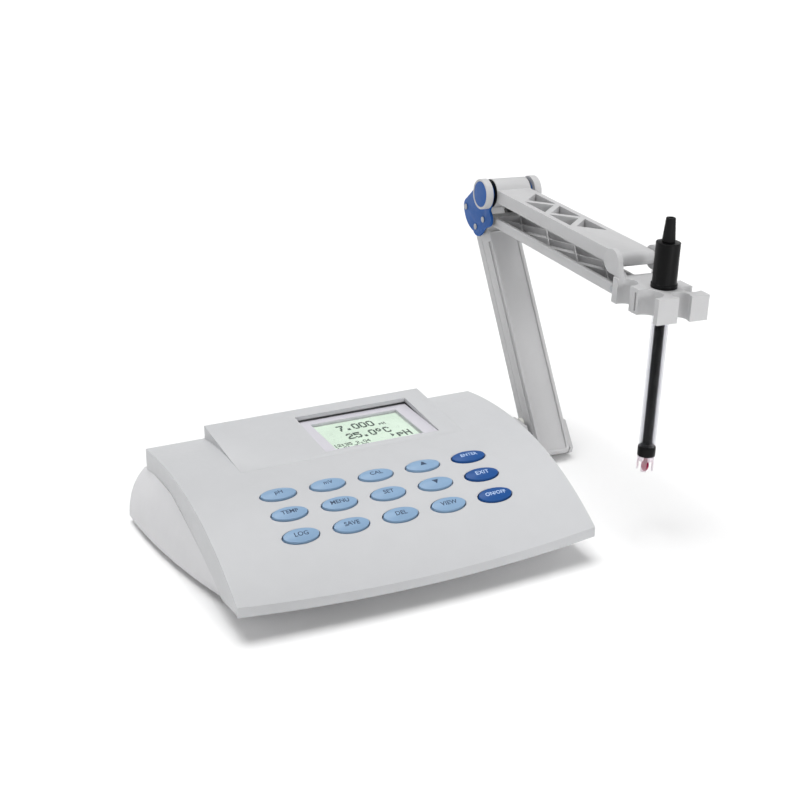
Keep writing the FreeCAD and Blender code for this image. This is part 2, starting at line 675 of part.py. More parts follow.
def arm_bracket():
    """A steel strip under the housing, bent up to the arm's lean at its outer end."""
    low, high = num("tab_low"), num("tab_low + strip_thick")
    reach = num("strip_half") + 1
    bend = num("strip_bend")
    bottom, top = arm_point(reach, low), arm_point(reach, high)
    profile = pad("XZ", [("strip_left", "strip_low"), (bend, "strip_low"), bottom, top,
                         (bend, "strip_low + strip_thick"),
                         ("strip_left", "strip_low + strip_thick")], "2 * strip_half")
    bind(profile, "Placement.Base.y", "arm_y + swivel_y")
    end_x = arm_point(0, low)[0]
    plan = pad("XY", [(80, "arm_y + swivel_y - strip_half"),
                      (end_x, "arm_y + swivel_y - strip_half", "strip_half + 0.01"),
                      (end_x, "arm_y + swivel_y + strip_half"),
                      (80, "arm_y + swivel_y + strip_half")], 20, start=-5)
    stud_hole = at_place(METER.inverse() * ARM,
                         rod("stud_r + 0.02", 12, (0, "swivel_y", "tab_low - 4")))
    holes = [rod("post_hole + 0.1", 12, (x, y, -2)) for x, y in BRACKET_SCREWS]
    sub_part("arm_bracket", METER, cut(overlap(profile, plan), stud_hole, *holes))


def bracket_screws():
    made = [screw_low(x, y) for x, y in BRACKET_SCREWS]
    sub_part("bracket_screws", METER, *made)


def screw_low(x, y):
    head = rod("screw_head", 1.7, (x, y, "strip_low - 1.75"))
    return join(head, rod("post_hole - 0.1", 9, (x, y, "strip_low - 0.05")))


def swivel_stud():
    shank = rod("stud_r", "fork_low + fork_floor - tab_low + 0.1", (0, "swivel_y", "tab_low"))
    head = rod("stud_head", 2.4, (0, "swivel_y", "fork_low + fork_floor + 0.1"))
    sub_part("swivel_stud", ARM, join(shank, head))


def swivel_fork():
    cheek = [(28, "fork_low"), (28, 13), (8.8, 13), (-5.4, -4.8), (-4.6, -9.4), (0.3, -12.6),
             (2.8, -12.6), (4.4, "fork_low")]
    holes = [(MAIN_FOOT, "pivot_r + 0.02"), (REAR_FOOT, "pivot_r + 0.02")]
    left = pad("YZ", cheek, "fork_thick", holes, start="-fork_in - fork_thick")
    right = pad("YZ", cheek, "fork_thick", holes, start="fork_in")
    floor = block(("2 * fork_in + fork_thick", 20, "fork_floor"),
                  ("-fork_in - fork_thick / 2", 8, "fork_low"))
    bore = rod("stud_r + running_gap", 20, (0, "swivel_y", "fork_low - 5"))
    sub_part("swivel_fork", ARM, cut(join(left, right, floor), bore))


def rivet_pin(y, z, half, head_radius):
    """A pivot pin with a flat head outside each cheek."""
    heads = [rod(head_radius, 0.7, (x, y, z), "x") for x in (half + 0.02, -half - 0.72)]
    return join(cross_rod("pivot_r", half + 0.1, (0, y, z)), *heads)


def fork_pins():
    half = num("fork_in + fork_thick")
    made = [rivet_pin(y, z, half, "rivet_r") for y, z in (MAIN_FOOT, REAR_FOOT)]
    sub_part("fork_pins", ARM, *made)


def washers(spots):
    """A washer on each side of the link at every spot."""
    gap = num("running_gap")
    thick = num("plate_in - main_half") - 2 * gap
    made = []
    for y, z in spots:
        for x in (num("main_half") + gap, -num("plate_in") + gap):
            ring = cut(rod("washer_r", thick, (x, y, z), "x"),
                       rod("pivot_r + running_gap", thick + 2, (x - 1, y, z), "x"))
            made.append(ring)
    return made


def fork_washers():
    sub_part("fork_washers", ARM, *washers([MAIN_FOOT, REAR_FOOT]))


# ---------------------------------------------------------------- lower links

def main_beam():
    centre_low = -3
    side = [("-main_front", centre_low, "main_end + 0.01"), ("main_rear", centre_low),
            ("main_rear", "link_long", "main_rear + 0.01"), ("-main_rear", "link_long"),
            ("-main_front", "link_long - 9")]
    bar = pad("YZ", side, "2 * main_half")
    face = block(("2 * main_half - 5", 4, "link_long - 2"), ("2.5 - main_half", "-main_front - 2", -7))
    core = block(("2 * (main_half - main_wall)", 9.6, "link_long - 25"),
                 ("main_wall - main_half", -5.3, 11))
    grooves = [block((2, 4, "link_long - 19"), (x, -9.5, 3)) for x in ("main_half - 1", "-main_half - 1")]
    bores = [cross_rod("pivot_r + running_gap", 20, (0, 0, z)) for z in (0, "link_long")]
    frame = pivot_frame(MAIN_FOOT[0], MAIN_FOOT[1], LINK_TILT)
    sub_part("main_beam", frame, cut(bar, face, core, *grooves, *bores))


def rear_link():
    side = [("-rear_link_half", 0, "rear_link_half + 0.01"), ("rear_link_half", 0),
            ("rear_link_half", "link_long", "rear_link_half + 0.01"), ("-rear_link_half", "link_long")]
    bar = pad("YZ", side, "2 * main_half")
    core = block(("2 * main_half - 5", 5, "link_long - 18"), ("2.5 - main_half", -1, 9))
    bores = [cross_rod("pivot_r + running_gap", 20, (0, 0, z)) for z in (0, "link_long")]
    frame = pivot_frame(REAR_FOOT[0], REAR_FOOT[1], LINK_TILT)
    sub_part("rear_link", frame, cut(bar, core, *bores))


# ---------------------------------------------------------------- elbow

ELBOW_PIVOTS = [("tie_y", "tie_z"), ("main_top_y", "main_top_z"), ("rear_top_y", "rear_top_z")]


def elbow_plates():
    edge = [("main_top_y - 9.3", "main_top_z - 3.9", 9), ("main_top_y + 4.1", "main_top_z - 4.7", 22),
            ("rear_top_y + 4.5", "rear_top_z - 0.1", 7), ("rear_top_y + 0.9", "rear_top_z + 6.9"),
            ("axle_y + 24.5", "axle_z - 3.1"), ("axle_y + 5.5", "axle_z + 6.5", "plate_ear_r"),
            ("axle_y - 8.2", "axle_z - 2.4"), ("tie_y - 8.7", "tie_z + 9.4"),
            ("tie_y - 11.4", "tie_z + 6.6", 7), ("tie_y - 10.3", "tie_z - 3.4"),
            ("tie_y - 3", "tie_z - 6.6")]
    holes = [(spot, "pivot_r + 0.02") for spot in ELBOW_PIVOTS]
    holes.append((("axle_y", "axle_z"), "axle_r + 0.02"))
    starts = {"elbow_plate_left": "-plate_in - plate_thick", "elbow_plate_right": "plate_in"}
    for name, start in starts.items():
        sub_part(name, ARM, pad("YZ", edge, "plate_thick", holes, start=start))


def elbow_pins():
    half = num("plate_in + plate_thick")
    made = [rivet_pin(y, z, half, "rivet_r") for y, z in ELBOW_PIVOTS]
    sub_part("elbow_pins", ARM, *made)


def elbow_washers():
    sub_part("elbow_washers", ARM, *washers(ELBOW_PIVOTS))


def elbow_axle():
    sub_part("elbow_axle", ARM, cross_rod("axle_r", "cap_in + cap_thick - 2", (0, "axle_y", "axle_z")))


def axle_washers():
    """A black washer at each end of the upper beam's barrel."""
    thick = num("plate_in - barrel_half") - 0.1
    made = []
    for x in ("barrel_half + 0.05", "-barrel_half - 0.05 - %s" % repr(thick)):
        bore = rod("axle_r + running_gap", thick + 2, (num(x) - 1, "axle_y", "axle_z"), "x")
        made.append(cut(rod("axle_washer_r", thick, (x, "axle_y", "axle_z"), "x"), bore))
    sub_part("axle_washers", ARM, *made)


def axle_caps():
    """A round cap on each end of the axle, dished for its face disc."""
    made = []
    for side in (-1, 1):
        body = rod("cap_r", "cap_thick", caps_start(side, 0, "cap_thick"), "x")
        dish = rod("cap_disc_r + 0.05", 2, caps_start(side, "cap_thick - cap_disc_thick - 0.2", 2), "x")
        socket = rod("axle_r + 0.02", "cap_thick - 1.9", caps_start(side, -0.1, "cap_thick - 1.9"), "x")
        made.append(cut(body, dish, socket))
    sub_part("axle_caps", ARM, *made)


def caps_start(side, offset, length):
    """Low corner of something that begins at an offset outside the cap's inner face."""
    x = "cap_in + (%s)" % offset if side > 0 else "-(cap_in + (%s) + (%s))" % (offset, length)
    return x, "axle_y", "axle_z"


def cap_discs():
    made = []
    for side in (-1, 1):
        at = caps_start(side, "cap_thick - cap_disc_thick - 0.15", "cap_disc_thick")
        made.append(rod("cap_disc_r", "cap_disc_thick", at, "x"))
    sub_part("cap_discs", ARM, *made)


# ---------------------------------------------------------------- upper links

UPPER_RUN = (-num("upper_long") * math.cos(math.radians(UPPER_TILT)),
             -num("upper_long") * math.sin(math.radians(UPPER_TILT)))
FRONT_PIVOT = (num("axle_y") + UPPER_RUN[0], num("axle_z") + UPPER_RUN[1])
TIE_FRONT = (num("tie_y") + UPPER_RUN[0], num("tie_z") + UPPER_RUN[1])


def truss_pockets(half, start, step, count):
    """Triangular openings that leave a zigzag of webs."""
    web = 1.5
    made = []
    for index in range(1, count + 1):
        side = 1 if index % 2 else -1
        near, tip, far = (start - step * (index + shift) for shift in (-1, 0, 1))
        path = [(side * half, far + 2 * web), (side * half, near - 2 * web),
                (-side * (half - 2.5 * web), tip)]
        if side < 0:
            path.reverse()
        made.append(pad("XY", path, 30, start=-15))
    return made


def upper_beam():
    bar = block(("2 * upper_half", "upper_long - 6", "upper_high"),
                ("-upper_half", "-upper_long", "-upper_high / 2"))
    barrel = cross_rod("barrel_r", "barrel_half", (0, 0, 0))
    nose = cross_rod("upper_high / 2", "upper_half", (0, "-upper_long", 0))
    under = block(("2 * upper_half - 6.6", 38, 10), ("3.3 - upper_half", "11 - upper_long", -7.6))
    root = block(("2 * upper_half - 6.6", 9, 10), ("3.3 - upper_half", -22, -7.6))
    bores = [cross_rod("axle_r + running_gap", 20, (0, 0, 0)),
             cross_rod("pivot_r + running_gap", 20, (0, "-upper_long", 0))]
    pockets = truss_pockets(10.2, -24, 18.5, 5)
    frame = pivot_frame("axle_y", "axle_z", UPPER_TILT)
    sub_part("upper_beam", frame, cut(join(bar, barrel, nose), under, root, *pockets, *bores))


def tie_beam():
    half = num("main_half - tie_wall")
    bar = block(("2 * main_half", "upper_long", "tie_high"), ("-main_half", "-upper_long", "-tie_high / 2"))
    ends = [cross_rod("tie_high / 2", "main_half", (0, y, 0)) for y in (0, "-upper_long")]
    channel = block((2 * half, "upper_long - 18", "tie_high"), (-half, "9 - upper_long", "2 - tie_high / 2"))
    fork = block((2 * half, 14, "tie_high + 2"), (-half, "-upper_long - 5", "-tie_high / 2 - 1"))
    ribs = []
    bays = 4
    bay = (num("upper_long") - 18) / bays
    for index in range(bays):
        near, far = -9 - bay * index, -9 - bay * (index + 1)
        for side in (1, -1):
            path = [(-side * half, near - 0.9), (-side * half, near + 0.9),
                    (side * half, far + 0.9), (side * half, far - 0.9)]
            if side > 0:
                path.reverse()
            ribs.append(pad("XY", path, "tie_high - 2.6", start="1.8 - tie_high / 2"))
    bores = [cross_rod("pivot_r + running_gap", 20, (0, y, 0)) for y in (0, "-upper_long")]
    frame = pivot_frame("tie_y", "tie_z", UPPER_TILT)
    sub_part("tie_beam", frame, cut(join(cut(join(bar, *ends), channel), *ribs), fork, *bores))


# ---------------------------------------------------------------- electrode holder

def electrode_holder():
    y, z = FRONT_PIVOT
    ear = [(y - 5.8, "holder_low"), (y - 5.8, "holder_top + 0.6"), (y - 1.5, z - 8.874, "ear_r"),
           (y + num("ear_r"), z, "ear_r + 0.02"), (y - num("ear_r"), z), (y - 12.8, "holder_top"),
           (y - 12.8, "holder_low")]
    ears = [pad("YZ", ear, "ear_thick", start=start) for start in ("-ear_in - ear_thick", "ear_in")]
    lug_y, lug_z = TIE_FRONT
    nose = num("tie_high") / 2
    lug = pad("YZ", [(lug_y, lug_z - nose, nose + 0.01), (lug_y, lug_z + nose),
                     ("holder_rear - 1", lug_z + nose), ("holder_rear - 1", lug_z - nose)],
              "2 * tie_lug_half", [(TIE_FRONT, "pivot_r + 0.02")])
    slab = block(("2 * holder_half", "holder_rear - holder_front", "holder_top - holder_low"),
                 ("-holder_half", "holder_front", "holder_low"))
    gussets = [holder_gusset(side) for side in (-1, 1)]
    tools = [cross_rod("pivot_r + 0.02", "ear_in + ear_thick - 1.2", (0, *FRONT_PIVOT))]
    tools += [upright("notch_r", side * 18.5, -112.6) for side in (-1, 1)]
    tools.append(upright("notch_large_r", -19, -140.5))
    tools.append(upright("glass_r + 0.08", 0, "probe_y"))
    tools.append(upright("clamp_r", "front_clamp_x", "front_clamp_y"))
    tools.append(upright("clamp_r", "side_clamp_x", "side_clamp_y"))
    tools.append(block(("2 * clamp_mouth", 20, 40),
                       ("front_clamp_x - clamp_mouth", "front_clamp_y - 20", "holder_low - 10")))
    tools.append(block((20, "2 * clamp_mouth", 40),
                       ("side_clamp_x", "side_clamp_y - clamp_mouth", "holder_low - 10")))
    tools.append(block(("holder_half - 9", "slit_wide", "holder_top - holder_low - 5"),
                       ("-holder_half - 1", "probe_y + 2", "holder_low + 2")))
    sub_part("electrode_holder", ARM, cut(join(slab, lug, *ears, *gussets), *tools))


def holder_gusset(side):
    """A web that stiffens the foot of an ear."""
    start = "ear_in - 4" if side > 0 else "-ear_in"
    y = num("holder_rear")
    path = [(y - 4, "holder_top - 2"), (y, "holder_top - 2"), (y, "holder_top + 2.5"), (y - 4, "holder_top")]
    return pad("YZ", path, 4.2, start=start)


def upright(radius, x, y):
    return rod(radius, 40, (x, y, "holder_low - 10"))


def holder_pins():
    """The beam's pin ends inside the ears, and the tie's pin has a head outside each of its walls."""
    long_pin = cross_rod("pivot_r", "ear_in + ear_thick - 1.3", (0, *FRONT_PIVOT))
    sub_part("holder_pins", ARM, long_pin, rivet_pin(*TIE_FRONT, num("main_half"), "rivet_r"))


# ---------------------------------------------------------------- electrode

PROBE = ARM * FreeCAD.Placement(FreeCAD.Vector(0, num("probe_y"), 0), FreeCAD.Rotation())


def electrode_boot():
    low = num("probe_cap_top") + 0.05
    body = cone("boot_low_r", "boot_top_r", "boot_top - %s" % repr(low), (0, 0, low))
    sub_part("electrode_boot", PROBE, cut(body, rod(1.5, 12, (0, 0, "boot_top - 11"))))


def electrode_cap():
    low = num("holder_top") + 0.05
    barrel = rod("probe_cap_r", "probe_cap_top - %s" % repr(low), (0, 0, low))
    flange = rod("probe_flange_r", 3.2, (0, 0, low))
    bore = rod("glass_r + 0.02", 21, (0, 0, low - 1))
    sub_part("electrode_cap", PROBE, cut(join(barrel, flange), bore))


def electrode_glass():
    tube = rod("glass_r", "glass_top - glass_low", (0, 0, "glass_low"))
    inside = rod("glass_r - glass_wall", 200, (0, 0, 20))
    sub_part("electrode_glass", PROBE, cut(tube, inside))


def electrode_core():
    sub_part("electrode_core", PROBE, rod("core_r", "glass_top - glass_low - 3", (0, 0, "glass_low + 2")))


def electrode_collar():
    ring = rod("collar_r", "glass_low - collar_low - 0.02", (0, 0, "collar_low"))
    plug = rod("glass_r - glass_wall - 0.05", 2.5, (0, 0, "glass_low - 1"))
    sub_part("electrode_collar", PROBE, join(ring, plug))


def electrode_guard():
    """A ring of clear prongs round the glass bulb."""
    tube = cut(rod("glass_r", "collar_low - guard_low - 0.05", (0, 0, "guard_low")),
               rod("glass_r - glass_wall", 40, (0, 0, 10)))
    slots = [block((20, 5, 8), (-10, -2.5, "guard_low - 0.5")),
             block((5, 20, 8), (-2.5, -10, "guard_low - 0.5"))]
    sub_part("electrode_guard", PROBE, cut(tube, *slots))


def electrode_bulb():
    stem = rod(2.2, "collar_low - bulb_z - 0.05", (0, 0, "bulb_z"))
    sub_part("electrode_bulb", PROBE, join(ball("bulb_r", (0, 0, "bulb_z")), stem))


# ---------------------------------------------------------------- build and write

def build():
    top_cover()
    lower_housing()
    feet()
    housing_screws()
    for row in KEY_ROWS:
        for column in KEY_COLUMNS:
            key(row, column)
    keypad_board()
    keypad_mat()
    bezel()
    window()
    lcd_panel()
    lcd_board()
    main_board()
    rear_panel()
    electrode_socket()
    banana_socket(1)
    banana_socket(2)
    ground_terminal()
    power_socket()
    serial_socket()
    arm_bracket()
    bracket_screws()
    swivel_stud()
    swivel_fork()
    fork_pins()
    fork_washers()
    main_beam()
    rear_link()
    elbow_plates()
    elbow_pins()
    elbow_washers()
    elbow_axle()
    axle_washers()
    axle_caps()
    cap_discs()
    upper_beam()
    tie_beam()
    electrode_holder()
    holder_pins()
    electrode_boot()
    electrode_cap()
    electrode_glass()
    electrode_core()
    electrode_collar()
    electrode_guard()
    electrode_bulb()


def check():
    """Stops if any object failed to recompute or any sub-part has no valid shape."""
    for thing in doc.Objects:
        if {"Invalid", "Error"} & set(thing.State):
            raise RuntimeError("%s (%s) failed" % (thing.Name, thing.Label))
    for thing in sub_parts:
        if thing.Shape.isNull() or not thing.Shape.isValid() or not thing.Shape.Solids:
            raise RuntimeError("%s has no valid solid" % thing.Label)


def write():
    os.makedirs("parts", exist_ok=True)
    for thing in sub_parts:
        thing.Shape.exportStep("parts/%s.step" % thing.Label)


build()
doc.recompute()
check()
write()
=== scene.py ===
"""Looks of the bench pH meter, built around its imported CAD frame. Everything is in metres."""
import math

import bmesh
import bpy
from mathutils import Matrix, Vector
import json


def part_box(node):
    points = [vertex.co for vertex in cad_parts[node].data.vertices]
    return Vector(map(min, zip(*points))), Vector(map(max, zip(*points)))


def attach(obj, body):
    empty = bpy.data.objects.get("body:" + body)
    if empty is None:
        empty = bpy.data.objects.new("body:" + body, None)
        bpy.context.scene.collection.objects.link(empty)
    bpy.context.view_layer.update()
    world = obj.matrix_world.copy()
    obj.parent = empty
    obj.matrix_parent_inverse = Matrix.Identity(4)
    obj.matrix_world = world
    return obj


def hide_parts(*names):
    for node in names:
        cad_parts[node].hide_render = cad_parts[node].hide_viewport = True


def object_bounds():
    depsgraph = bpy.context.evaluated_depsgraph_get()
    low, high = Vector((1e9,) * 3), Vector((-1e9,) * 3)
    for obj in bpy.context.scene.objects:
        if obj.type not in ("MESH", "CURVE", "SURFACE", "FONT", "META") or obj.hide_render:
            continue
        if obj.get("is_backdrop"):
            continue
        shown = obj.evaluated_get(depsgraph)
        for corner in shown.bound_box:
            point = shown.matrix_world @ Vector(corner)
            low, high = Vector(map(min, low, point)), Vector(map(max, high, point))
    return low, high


MM = 0.001

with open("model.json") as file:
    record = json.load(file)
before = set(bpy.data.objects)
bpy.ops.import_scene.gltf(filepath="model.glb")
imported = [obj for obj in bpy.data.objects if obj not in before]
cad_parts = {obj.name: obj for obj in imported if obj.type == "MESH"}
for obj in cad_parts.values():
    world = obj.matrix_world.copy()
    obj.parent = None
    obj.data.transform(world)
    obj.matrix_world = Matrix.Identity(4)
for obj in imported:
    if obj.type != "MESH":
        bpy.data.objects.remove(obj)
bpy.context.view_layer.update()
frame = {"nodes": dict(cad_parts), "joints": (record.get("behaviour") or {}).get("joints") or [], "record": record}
nodes = frame["nodes"]
record = frame["record"]
body_of = {node: body for body, members in record["behaviour"]["bodies"].items()
           for node in members}
slot_of = {entry["node"]: entry["material_slot"] for entry in record["subparts"]}
axis_of = {joint["name"]: Vector(joint["axis"]) for joint in frame["joints"]}

# ---------------------------------------------------------------- camera and lights

# The camera was fitted to the photo. Pitch and yaw are in degrees, the place is in metres.
CAMERA_PLACE, CAMERA_PITCH, CAMERA_YAW = (-0.43526, -0.94571, 0.51079), -22.34, -25.23
SENSOR_WIDTH, FOCAL_LENGTH = 36, 69.46
CAMERA_REACH = 50

scene = bpy.context.scene
scene.view_settings.view_transform = "Standard"

camera_data = bpy.data.cameras.new("camera")
camera_data.sensor_width = SENSOR_WIDTH
camera_data.lens = FOCAL_LENGTH
camera_data.clip_end = CAMERA_REACH
camera = bpy.data.objects.new("camera", camera_data)
camera.location = CAMERA_PLACE
camera.rotation_euler = (math.radians(90 + CAMERA_PITCH), 0, math.radians(CAMERA_YAW))
scene.collection.objects.link(camera)
scene.camera = camera


def lamp(name, kind, at, aim, power):
    """A light at a place, turned towards another, and its data."""
    data = bpy.data.lights.new(name, kind)
    data.energy = power
    made = bpy.data.objects.new(name, data)
    made.location = at
    made.rotation_euler = (Vector(aim) - Vector(at)).to_track_quat("-Z", "Y").to_euler()
    scene.collection.objects.link(made)
    return data


# A wide soft sun from above, a weak front panel, and a narrow soft spot on the arm.
overhead = lamp("overhead", "SUN", (-0.05, 0.22, 1.0), (0, 0, 0), 2.35)
overhead.angle = math.radians(40)
front_fill = lamp("front_fill", "AREA", (0.3, -1.5, 0.8), (0.12, -0.05, 0.15), 2)
front_fill.size = 1.0
arm_spot = lamp("arm_spot", "SPOT", (0.35, -1.6, 0.62), (0.17, -0.02, 0.16), 75)
arm_spot.spot_size = math.radians(15)
arm_spot.spot_blend = 1
arm_spot.shadow_soft_size = 0.25


def studio_walls(horizon=1.0, zenith=0.36, wall_top=0.17, ceiling=0.38):
    """A world that is white below wall_top and fades to a dimmer grey at ceiling.

    Both heights are sines of the angle over the horizon.
    """
    world = bpy.data.worlds.new("studio")
    world.use_nodes = True
    tree = world.node_tree
    place = tree.nodes.new("ShaderNodeTexCoord")
    parts = tree.nodes.new("ShaderNodeSeparateXYZ")
    tree.links.new(place.outputs["Generated"], parts.inputs["Vector"])
    fade = tree.nodes.new("ShaderNodeMapRange")
    for name, value in (("From Min", wall_top), ("From Max", ceiling), ("To Min", horizon),
                        ("To Max", zenith)):
        fade.inputs[name].default_value = value
    tree.links.new(parts.outputs["Z"], fade.inputs["Value"])
    tree.nodes["Background"].inputs["Color"].default_value = (1, 1, 1, 1)
    tree.links.new(fade.outputs["Result"], tree.nodes["Background"].inputs["Strength"])
    return world


scene.world = studio_walls()


# ---------------------------------------------------------------- materials

def new_material(name):
    """A material with nodes, its node tree and its Principled shader."""
    made = bpy.data.materials.new(name)
    made.use_nodes = True
    return made, made.node_tree, made.node_tree.nodes["Principled BSDF"]


def noise(tree, scale, detail=4.0, rough=0.55):
    """Noise in the object's own coordinates, about its middle value of one half."""
    place = tree.nodes.new("ShaderNodeTexCoord")
    made = tree.nodes.new("ShaderNodeTexNoise")
    made.inputs["Scale"].default_value = scale
    made.inputs["Detail"].default_value = detail
    made.inputs["Roughness"].default_value = rough
    tree.links.new(place.outputs["Object"], made.inputs["Vector"])
    return made.outputs["Fac"]


def spread(tree, value, low, high, low_in=0.3, high_in=0.7):
    """Maps a value's usual range to another range. The default range is that of noise."""
    made = tree.nodes.new("ShaderNodeMapRange")
    made.inputs["From Min"].default_value = low_in
    made.inputs["From Max"].default_value = high_in
    made.inputs["To Min"].default_value = low
    made.inputs["To Max"].default_value = high
    tree.links.new(value, made.inputs["Value"])
    return made.outputs["Result"]


# The sockets of a Mix node that belong to its colour mode.
MIX_FACTOR, MIX_FIRST, MIX_SECOND, MIX_RESULT = 0, 6, 7, 2


def mix_colour(tree, factor, first, second):
    """Mixes two colours, each of them a tuple or a socket."""
    made = tree.nodes.new("ShaderNodeMix")
    made.data_type = "RGBA"
    for socket, value in ((MIX_FIRST, first), (MIX_SECOND, second)):
        if isinstance(value, tuple):
            made.inputs[socket].default_value = (*value, 1)
        else:
            tree.links.new(value, made.inputs[socket])
    tree.links.new(factor, made.inputs[MIX_FACTOR])
    return made.outputs[MIX_RESULT]


def shade(colour, factor):
    """A colour made brighter or darker."""
    return tuple(min(channel * factor, 1) for channel in colour)


# Noise scales, in cycles per metre.
DRIFT_SCALE, SHEEN_SCALE, HAZE_SCALE = 55, 240, 90
GRAIN_DEPTH = 0.2 * MM


def moulded(name, colour, rough=0.45, grain=0.05, grain_scale=2600, mottle=0.03, metal=0.0,
            gloss=0.5, glow=0.0):
    """Moulded plastic or another opaque stuff: fine grain, uneven sheen and slight colour drift."""
    made, tree, shader = new_material(name)
    drift = spread(tree, noise(tree, DRIFT_SCALE, 3), 0, 1)
    tint = mix_colour(tree, drift, shade(colour, 1 - mottle), shade(colour, 1 + mottle))
    tree.links.new(tint, shader.inputs["Base Color"])
    sheen = spread(tree, noise(tree, SHEEN_SCALE, 5), rough - 0.05, rough + 0.06)
    tree.links.new(sheen, shader.inputs["Roughness"])
    bump = tree.nodes.new("ShaderNodeBump")
    bump.inputs["Strength"].default_value = grain
    bump.inputs["Distance"].default_value = GRAIN_DEPTH
    tree.links.new(noise(tree, grain_scale, 3), bump.inputs["Height"])
    tree.links.new(bump.outputs["Normal"], shader.inputs["Normal"])
    shader.inputs["Metallic"].default_value = metal
    shader.inputs["Specular IOR Level"].default_value = gloss
    # A glow of the stuff's own colour: painted light wherever glow is above nought.
    tree.links.new(tint, shader.inputs["Emission Color"])
    shader.inputs["Emission Strength"].default_value = glow
    return made


# The painted shade fades in over these cosines between a face's normal and the axis.
INNER_SHADE_COSINES = (0.85, 0.95)


def lined(name, colour, inner_shade, inward):
    """Painted plastic whose inner face, the one that looks along an axis, is darkened with painted shade for the
    shadow that falls between the plates.
    """
    made = moulded(name, colour, 0.42, 0.06, 2600, 0.03, gloss=0.25)
    tree, shader = made.node_tree, made.node_tree.nodes["Principled BSDF"]
    paint = shader.inputs["Base Color"].links[0].from_socket
    facing = tree.nodes.new("ShaderNodeNewGeometry")
    along = tree.nodes.new("ShaderNodeVectorMath")
    along.operation = "DOT_PRODUCT"
    along.inputs[1].default_value = inward
    tree.links.new(facing.outputs["True Normal"], along.inputs[0])
    share = spread(tree, along.outputs["Value"], 0, 1, *INNER_SHADE_COSINES)
    tree.links.new(mix_colour(tree, share, paint, inner_shade), shader.inputs["Base Color"])
    return made


def clear(name, colour, edge_share, body=0.0):
    """Thin clear glass or plastic: see-through, with gloss that grows towards its edges."""
    made, tree, _shader = new_material(name)
    haze = spread(tree, noise(tree, HAZE_SCALE), 0, 1)
    tint = mix_colour(tree, haze, shade(colour, 0.975), shade(colour, 1.0))
    gloss = tree.nodes.new("ShaderNodeBsdfGlossy")
    tree.links.new(tint, gloss.inputs["Color"])
    tree.links.new(spread(tree, noise(tree, SHEEN_SCALE), 0.04, 0.10), gloss.inputs["Roughness"])
    through = tree.nodes.new("ShaderNodeBsdfTransparent")
    tree.links.new(tint, through.inputs["Color"])
    edge = tree.nodes.new("ShaderNodeLayerWeight")
    edge.inputs["Blend"].default_value = 0.2
    blend = tree.nodes.new("ShaderNodeMixShader")
    share = spread(tree, edge.outputs["Facing"], body, body + edge_share, 0, 1)
    tree.links.new(share, blend.inputs["Fac"])
    tree.links.new(through.outputs["BSDF"], blend.inputs[1])
    tree.links.new(gloss.outputs["BSDF"], blend.inputs[2])
    tree.links.new(blend.outputs["Shader"], tree.nodes["Material Output"].inputs["Surface"])
    return made


def srgb(red, green, blue):
    """Linear colour from 8-bit display values, by the usual display curve."""
    return tuple((channel / 255 + 0.055) ** 2.4 / 1.055 ** 2.4 if channel > 10 else channel / 3295
                 for channel in (red, green, blue))


# The second colour is painted shade: near-black for the shadow that falls between the two elbow plates.
ARM_BLUE, PLATE_PAINTED_SHADE = srgb(26, 84, 156), srgb(14, 14, 16)

